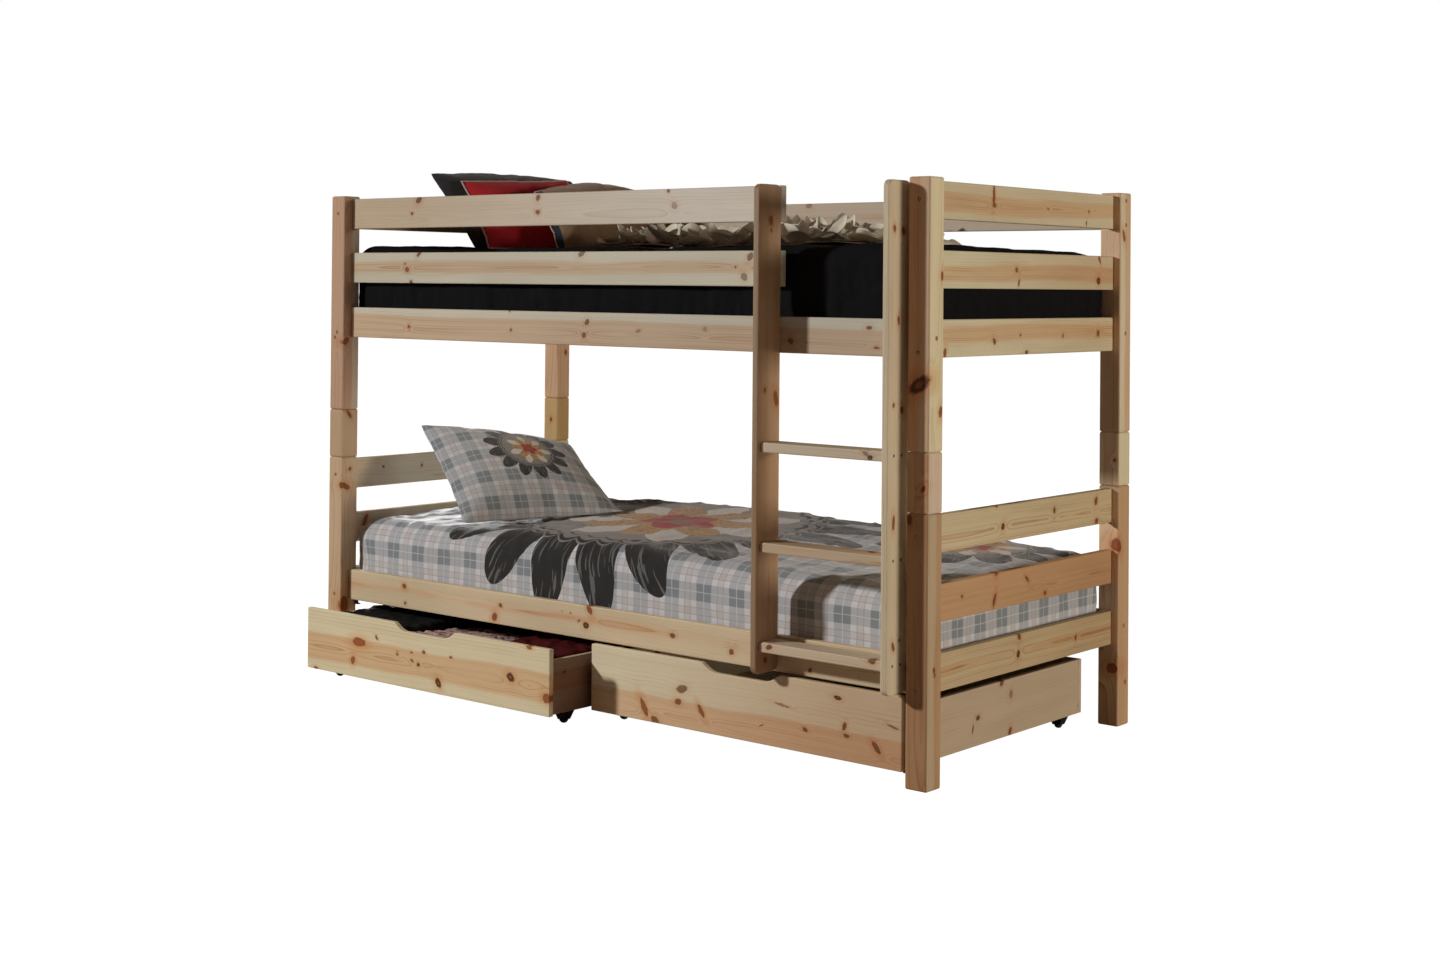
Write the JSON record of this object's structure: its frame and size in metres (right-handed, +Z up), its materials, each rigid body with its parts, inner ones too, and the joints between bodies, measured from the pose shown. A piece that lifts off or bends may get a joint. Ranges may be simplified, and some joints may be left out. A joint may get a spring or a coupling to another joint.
{
  "type": "bunk bed with drawers",
  "caption": "Solid pine bunk bed for single mattresses: two tiers on spacer blocks, slatted bases, guard rails, a front ladder at one end and rolling under-bed drawers, with bedding.",
  "frame": {"origin": "on the floor, under the centre of the bounding box of the whole bed as stored, with the left drawer standing 145 mm out", "axes": "+X along the bed towards the end that carries the ladder; +Y across the bed towards the wall side, so the drawers open towards -Y; +Z up"},
  "size_m": [2.09, 1.165, 1.526],
  "materials": {
    "pine": "natural knotty pine, clear satin lacquer",
    "pine_drawer_box": "natural pine, planed",
    "slat_pine": "bare planed pine slats on woven tapes",
    "black_plastic": "black moulded nylon",
    "checked_cotton": "washed cotton in grey and white checks",
    "black_cotton": "washed black cotton",
    "cushion_cotton": "plain cotton in black, red and beige"
  },
  "bodies": {
    "bed_frame": {"lower_post_front_left": "pine", "lower_post_front_right": "pine", "lower_post_rear_left": "pine", "lower_post_rear_right": "pine", "upper_post_front_left": "pine", "upper_post_front_right": "pine", "upper_post_rear_left": "pine", "upper_post_rear_right": "pine", "spacer_block_front_left": "pine", "spacer_block_front_right": "pine", "spacer_block_rear_left": "pine", "spacer_block_rear_right": "pine", "lower_left_end_rail_bottom": "pine", "lower_left_end_rail_middle": "pine", "lower_left_end_rail_top": "pine", "lower_right_end_rail_bottom": "pine", "lower_right_end_rail_middle": "pine", "lower_right_end_rail_top": "pine", "upper_left_end_rail_bottom": "pine", "upper_left_end_rail_middle": "pine", "upper_left_end_rail_top": "pine", "upper_right_end_rail_bottom": "pine", "upper_right_end_rail_middle": "pine", "upper_right_end_rail_top": "pine", "lower_side_rail_front": "pine", "lower_side_rail_rear": "pine", "upper_side_rail_front": "pine", "upper_side_rail_rear": "pine", "guard_rail_front_top": "pine", "guard_rail_front_middle": "pine", "guard_rail_rear_top": "pine", "lower_slat_base": "slat_pine", "upper_slat_base": "slat_pine", "ladder_stile_left": "pine", "ladder_stile_right": "pine", "ladder_rung_bottom": "pine", "ladder_rung_middle": "pine", "ladder_rung_top": "pine", "lower_mattress": "checked_cotton", "lower_pillow": "checked_cotton", "upper_mattress": "black_cotton", "upper_pillows": "cushion_cotton"},
    "left_drawer": {"left_drawer_front": "pine", "left_drawer_side_left": "pine_drawer_box", "left_drawer_side_right": "pine_drawer_box", "left_drawer_back": "pine_drawer_box", "left_drawer_bottom": "pine_drawer_box"},
    "left_drawer_wheel_front_left": {"left_drawer_wheel_front_left": "black_plastic"},
    "left_drawer_wheel_front_right": {"left_drawer_wheel_front_right": "black_plastic"},
    "left_drawer_wheel_rear_left": {"left_drawer_wheel_rear_left": "black_plastic"},
    "left_drawer_wheel_rear_right": {"left_drawer_wheel_rear_right": "black_plastic"},
    "right_drawer": {"right_drawer_front": "pine", "right_drawer_side_left": "pine_drawer_box", "right_drawer_side_right": "pine_drawer_box", "right_drawer_back": "pine_drawer_box", "right_drawer_bottom": "pine_drawer_box"},
    "right_drawer_wheel_front_left": {"right_drawer_wheel_front_left": "black_plastic"},
    "right_drawer_wheel_front_right": {"right_drawer_wheel_front_right": "black_plastic"},
    "right_drawer_wheel_rear_left": {"right_drawer_wheel_rear_left": "black_plastic"},
    "right_drawer_wheel_rear_right": {"right_drawer_wheel_rear_right": "black_plastic"}
  },
  "joints": [
    {"name": "left_drawer_slide", "type": "slide", "parent": "bed_frame", "child": "left_drawer", "axis": [0, -1, 0], "range_m": [-0.145, 0.655]},
    {"name": "left_drawer_wheel_front_left_spin", "type": "hinge", "parent": "left_drawer", "child": "left_drawer_wheel_front_left", "pos_m": [-0.94, -0.4755, 0.0155], "axis": [1, 0, 0], "continuous": true},
    {"name": "left_drawer_wheel_front_right_spin", "type": "hinge", "parent": "left_drawer", "child": "left_drawer_wheel_front_right", "pos_m": [-0.047, -0.4755, 0.0155], "axis": [1, 0, 0], "continuous": true},
    {"name": "left_drawer_wheel_rear_left_spin", "type": "hinge", "parent": "left_drawer", "child": "left_drawer_wheel_rear_left", "pos_m": [-0.94, 0.2565, 0.0155], "axis": [1, 0, 0], "continuous": true},
    {"name": "left_drawer_wheel_rear_right_spin", "type": "hinge", "parent": "left_drawer", "child": "left_drawer_wheel_rear_right", "pos_m": [-0.047, 0.2565, 0.0155], "axis": [1, 0, 0], "continuous": true},
    {"name": "right_drawer_slide", "type": "slide", "parent": "bed_frame", "child": "right_drawer", "axis": [0, -1, 0], "range_m": [0, 0.8]},
    {"name": "right_drawer_wheel_front_left_spin", "type": "hinge", "parent": "right_drawer", "child": "right_drawer_wheel_front_left", "pos_m": [0.041, -0.3305, 0.0155], "axis": [1, 0, 0], "continuous": true},
    {"name": "right_drawer_wheel_front_right_spin", "type": "hinge", "parent": "right_drawer", "child": "right_drawer_wheel_front_right", "pos_m": [0.934, -0.3305, 0.0155], "axis": [1, 0, 0], "continuous": true},
    {"name": "right_drawer_wheel_rear_left_spin", "type": "hinge", "parent": "right_drawer", "child": "right_drawer_wheel_rear_left", "pos_m": [0.041, 0.4015, 0.0155], "axis": [1, 0, 0], "continuous": true},
    {"name": "right_drawer_wheel_rear_right_spin", "type": "hinge", "parent": "right_drawer", "child": "right_drawer_wheel_rear_right", "pos_m": [0.934, 0.4015, 0.0155], "axis": [1, 0, 0], "continuous": true}
  ],
  "couplings": [
    {"joint": "left_drawer_wheel_front_left_spin", "follows": "left_drawer_slide", "rad_per_m": 64.516},
    {"joint": "left_drawer_wheel_front_right_spin", "follows": "left_drawer_slide", "rad_per_m": 64.516},
    {"joint": "left_drawer_wheel_rear_left_spin", "follows": "left_drawer_slide", "rad_per_m": 64.516},
    {"joint": "left_drawer_wheel_rear_right_spin", "follows": "left_drawer_slide", "rad_per_m": 64.516},
    {"joint": "right_drawer_wheel_front_left_spin", "follows": "right_drawer_slide", "rad_per_m": 64.516},
    {"joint": "right_drawer_wheel_front_right_spin", "follows": "right_drawer_slide", "rad_per_m": 64.516},
    {"joint": "right_drawer_wheel_rear_left_spin", "follows": "right_drawer_slide", "rad_per_m": 64.516},
    {"joint": "right_drawer_wheel_rear_right_spin", "follows": "right_drawer_slide", "rad_per_m": 64.516}
  ]
}
